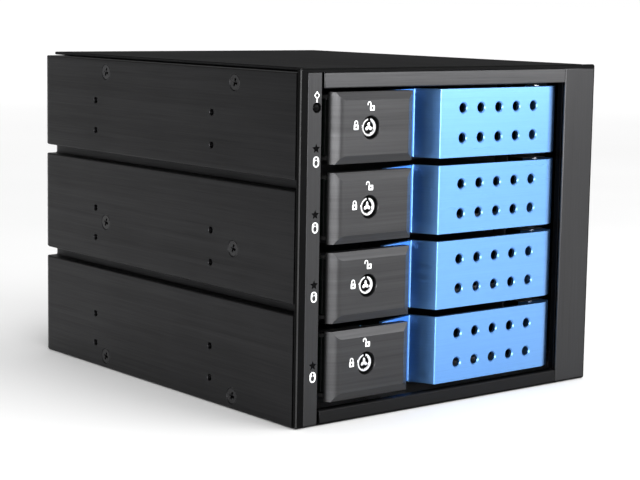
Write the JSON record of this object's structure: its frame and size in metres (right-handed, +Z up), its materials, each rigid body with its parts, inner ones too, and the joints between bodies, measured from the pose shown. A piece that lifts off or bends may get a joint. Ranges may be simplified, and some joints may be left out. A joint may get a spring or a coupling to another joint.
{
  "type": "hot-swap drive cage",
  "caption": "Metal drive cage with sliding drive trays, swing handles with locking latches, status strip, backplane and rear exhaust fan.",
  "frame": {"origin": "middle of the bounding box in plan, at the height of the base it rests on", "axes": "+X to the right seen from the front, +Y from the front towards the fan, +Z up"},
  "size_m": [0.146, 0.198, 0.1245],
  "materials": {
    "black_aluminium": "black anodised, brushed along its length",
    "grey_aluminium": "dark grey anodised, brushed",
    "blue_aluminium": "blue anodised, brushed from side to side",
    "black_plastic": "fine moulded grain",
    "steel": "zinc plated",
    "chrome": "polished",
    "circuit_board": "green solder mask",
    "light_pipe": "dark tinted"
  },
  "bodies": {
    "cage": {"left_side_panel": "black_aluminium", "right_side_panel": "black_aluminium", "rear_panel": "black_aluminium", "top_cover": "grey_aluminium", "indicator_strip": "grey_aluminium", "top_trim": "grey_aluminium", "bottom_trim": "grey_aluminium", "right_trim": "grey_aluminium", "bottom_plate": "steel", "left_guide_wall": "steel", "right_guide_wall": "steel", "indicator_board": "circuit_board", "backplane_board": "circuit_board", "light_pipe_1": "light_pipe", "light_pipe_2": "light_pipe", "light_pipe_3": "light_pipe", "light_pipe_4": "light_pipe", "bezel_frame": "black_plastic", "fan_frame": "black_plastic", "fan_guard": "chrome", "drive_socket_1": "black_plastic", "drive_socket_2": "black_plastic", "drive_socket_3": "black_plastic", "drive_socket_4": "black_plastic", "data_port_1": "black_plastic", "data_port_2": "black_plastic", "data_port_3": "black_plastic", "data_port_4": "black_plastic", "power_port_1": "black_plastic", "power_port_2": "black_plastic"},
    "fan": {"fan_rotor": "black_plastic"},
    "button": {"alarm_button": "black_plastic"},
    "tray_1": {"tray_1": "steel", "hinge_pin_1": "steel"},
    "handle_1": {"handle_1": "blue_aluminium", "latch_pin_1": "steel"},
    "latch_1": {"latch_1": "grey_aluminium"},
    "lock_1": {"lock_core_1": "chrome"},
    "tray_2": {"tray_2": "steel", "hinge_pin_2": "steel"},
    "handle_2": {"handle_2": "blue_aluminium", "latch_pin_2": "steel"},
    "latch_2": {"latch_2": "grey_aluminium"},
    "lock_2": {"lock_core_2": "chrome"},
    "tray_3": {"tray_3": "steel", "hinge_pin_3": "steel"},
    "handle_3": {"handle_3": "blue_aluminium", "latch_pin_3": "steel"},
    "latch_3": {"latch_3": "grey_aluminium"},
    "lock_3": {"lock_core_3": "chrome"},
    "tray_4": {"tray_4": "steel", "hinge_pin_4": "steel"},
    "handle_4": {"handle_4": "blue_aluminium", "latch_pin_4": "steel"},
    "latch_4": {"latch_4": "grey_aluminium"},
    "lock_4": {"lock_core_4": "chrome"}
  },
  "joints": [
    {"name": "tray_slide_1", "type": "slide", "parent": "cage", "child": "tray_1", "axis": [0, -1, 0], "range_m": [0, 0.15]},
    {"name": "handle_hinge_1", "type": "hinge", "parent": "tray_1", "child": "handle_1", "pos_m": [0.0482, -0.0905, 0.1037], "axis": [0, 0, 1], "range_deg": [0, 80]},
    {"name": "latch_hinge_1", "type": "hinge", "parent": "handle_1", "child": "latch_1", "pos_m": [-0.0556, -0.091, 0.1037], "axis": [0, 0, -1], "range_deg": [0, 40]},
    {"name": "key_turn_1", "type": "hinge", "parent": "latch_1", "child": "lock_1", "pos_m": [-0.0421, -0.098, 0.1037], "axis": [0, 1, 0], "range_deg": [-90, 0]},
    {"name": "tray_slide_2", "type": "slide", "parent": "cage", "child": "tray_2", "axis": [0, -1, 0], "range_m": [0, 0.15]},
    {"name": "handle_hinge_2", "type": "hinge", "parent": "tray_2", "child": "handle_2", "pos_m": [0.0482, -0.0905, 0.0758], "axis": [0, 0, 1], "range_deg": [0, 80]},
    {"name": "latch_hinge_2", "type": "hinge", "parent": "handle_2", "child": "latch_2", "pos_m": [-0.0556, -0.091, 0.0758], "axis": [0, 0, -1], "range_deg": [0, 40]},
    {"name": "key_turn_2", "type": "hinge", "parent": "latch_2", "child": "lock_2", "pos_m": [-0.0421, -0.098, 0.0758], "axis": [0, 1, 0], "range_deg": [-90, 0]},
    {"name": "tray_slide_3", "type": "slide", "parent": "cage", "child": "tray_3", "axis": [0, -1, 0], "range_m": [0, 0.15]},
    {"name": "handle_hinge_3", "type": "hinge", "parent": "tray_3", "child": "handle_3", "pos_m": [0.0482, -0.0905, 0.0479], "axis": [0, 0, 1], "range_deg": [0, 80]},
    {"name": "latch_hinge_3", "type": "hinge", "parent": "handle_3", "child": "latch_3", "pos_m": [-0.0556, -0.091, 0.0479], "axis": [0, 0, -1], "range_deg": [0, 40]},
    {"name": "key_turn_3", "type": "hinge", "parent": "latch_3", "child": "lock_3", "pos_m": [-0.0421, -0.098, 0.0479], "axis": [0, 1, 0], "range_deg": [-90, 0]},
    {"name": "tray_slide_4", "type": "slide", "parent": "cage", "child": "tray_4", "axis": [0, -1, 0], "range_m": [0, 0.15]},
    {"name": "handle_hinge_4", "type": "hinge", "parent": "tray_4", "child": "handle_4", "pos_m": [0.0482, -0.0905, 0.02], "axis": [0, 0, 1], "range_deg": [0, 80]},
    {"name": "latch_hinge_4", "type": "hinge", "parent": "handle_4", "child": "latch_4", "pos_m": [-0.0556, -0.091, 0.02], "axis": [0, 0, -1], "range_deg": [0, 40]},
    {"name": "key_turn_4", "type": "hinge", "parent": "latch_4", "child": "lock_4", "pos_m": [-0.0421, -0.098, 0.02], "axis": [0, 1, 0], "range_deg": [-90, 0]},
    {"name": "fan_spin", "type": "hinge", "parent": "cage", "child": "fan", "pos_m": [0, 0.0845, 0.06225], "axis": [0, 1, 0], "continuous": true},
    {"name": "button_press", "type": "slide", "parent": "cage", "child": "button", "axis": [0, 1, 0], "range_m": [0, 0.0006], "stiffness_N_per_m": 300, "springref_m": -0.0005}
  ]
}
